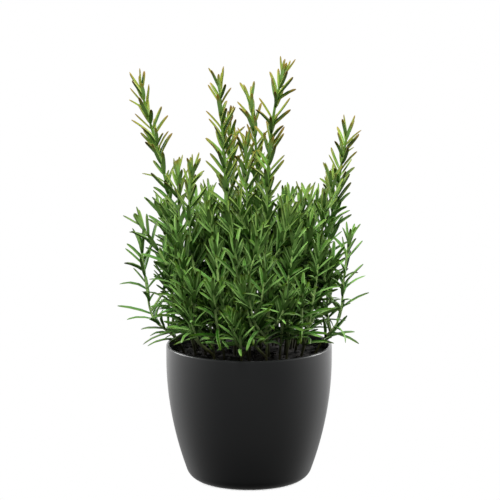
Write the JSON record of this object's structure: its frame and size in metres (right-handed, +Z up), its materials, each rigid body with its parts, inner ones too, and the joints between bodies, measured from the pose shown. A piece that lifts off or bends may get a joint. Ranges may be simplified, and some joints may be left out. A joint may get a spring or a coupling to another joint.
{
  "type": "potted rosemary plant",
  "caption": "Bushy rosemary plant with upright needle-leaved stems, standing in soil in a round charcoal pot.",
  "frame": {"origin": "centre of the flat underside of the pot's foot", "axes": "+Z up along the pot's axis, -Y towards the front as in the picture, +X to the viewer's right"},
  "size_m": [0.2122, 0.1612, 0.3634],
  "materials": {
    "pot": "satin",
    "soil": "matte",
    "rosemary": "satin"
  },
  "bodies": {
    "root": {"pot": "pot", "soil": "soil", "stem_tall_left": "rosemary", "stem_short_left": "rosemary", "stem_inner_left": "rosemary", "stem_tall_middle_left": "rosemary", "stem_back_middle_left": "rosemary", "stem_middle": "rosemary", "stem_tall_middle_right": "rosemary", "stem_inner_right": "rosemary", "stem_back_inner_right": "rosemary", "stem_short_right": "rosemary", "stem_tall_right": "rosemary", "stem_fork_right": "rosemary", "stem_short_middle": "rosemary", "stem_back_left": "rosemary", "stem_front": "rosemary", "stem_front_left": "rosemary", "stem_front_right": "rosemary", "stem_outer_left": "rosemary", "stem_low_left": "rosemary", "stem_low_right": "rosemary", "stem_inner_low_right": "rosemary", "stem_twin_left": "rosemary", "stem_back_1": "rosemary", "stem_back_2": "rosemary", "stem_back_3": "rosemary", "stem_back_4": "rosemary", "stem_back_5": "rosemary", "stem_back_6": "rosemary", "stem_front_rim_1": "rosemary", "stem_front_rim_2": "rosemary", "stem_front_rim_3": "rosemary", "stem_front_rim_4": "rosemary", "stem_back_rim_1": "rosemary", "stem_back_rim_2": "rosemary", "stem_back_rim_3": "rosemary", "stem_back_rim_4": "rosemary"}
  },
  "joints": []
}
